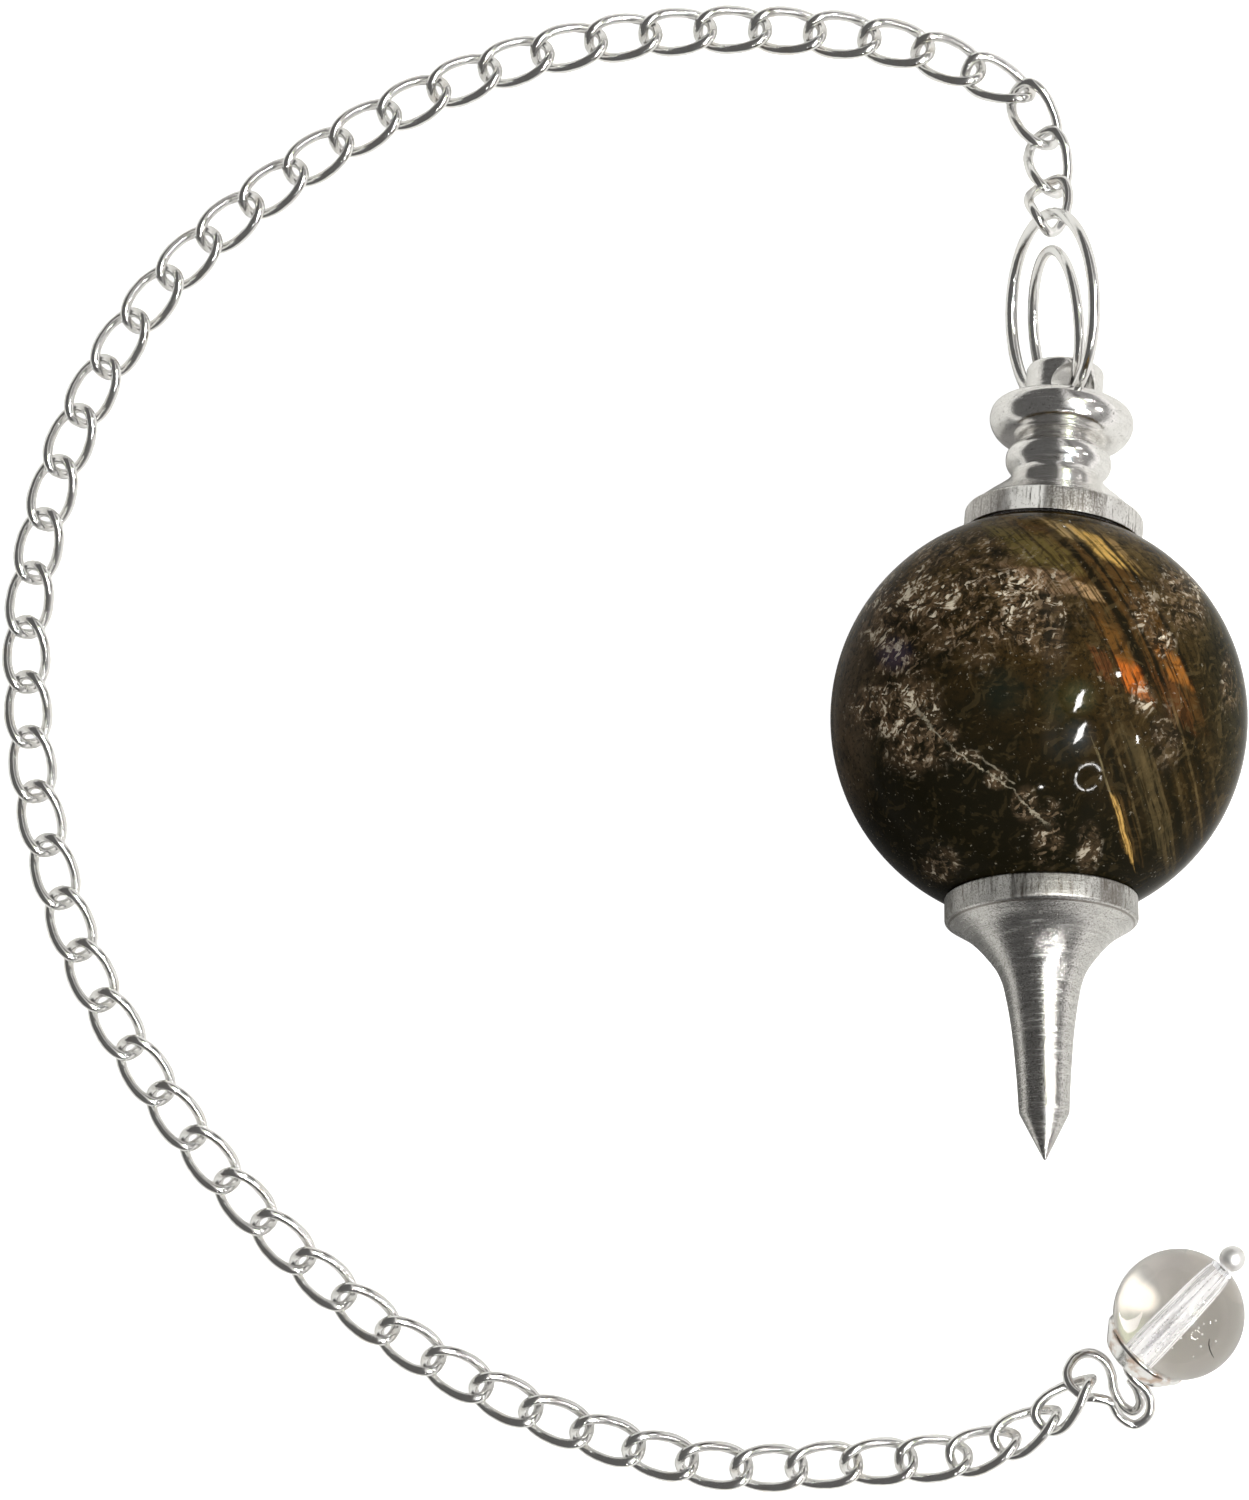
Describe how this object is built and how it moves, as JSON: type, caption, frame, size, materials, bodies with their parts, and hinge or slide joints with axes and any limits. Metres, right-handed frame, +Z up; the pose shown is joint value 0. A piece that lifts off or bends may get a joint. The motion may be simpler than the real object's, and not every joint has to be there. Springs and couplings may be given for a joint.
{
  "type": "pendulum pendant",
  "caption": "Dowsing pendulum: a dark polished stone ball with a turned metal spike and cap, on a twisted oval-link chain that ends in a clear drilled bead.",
  "frame": {"origin": "on the table under the middle of the laid-out pendulum", "axes": "+Z up from the table, the spike points towards -Y and the chain's loop opens to the ball at +X"},
  "size_m": [0.0617, 0.0743, 0.02],
  "materials": {
    "stone": "polished dark stone with golden flashes",
    "turned_metal": "satin turned metal with fine lathe lines",
    "plated_wire": "bright silver plate",
    "clear_bead": "polished clear"
  },
  "bodies": {
    "root": {"ball": "stone", "point": "turned_metal", "cap": "turned_metal", "large_ring": "plated_wire", "small_ring": "plated_wire", "chain": "plated_wire", "end_bead": "clear_bead", "bead_cup": "plated_wire", "bead_pin": "plated_wire"}
  },
  "joints": []
}
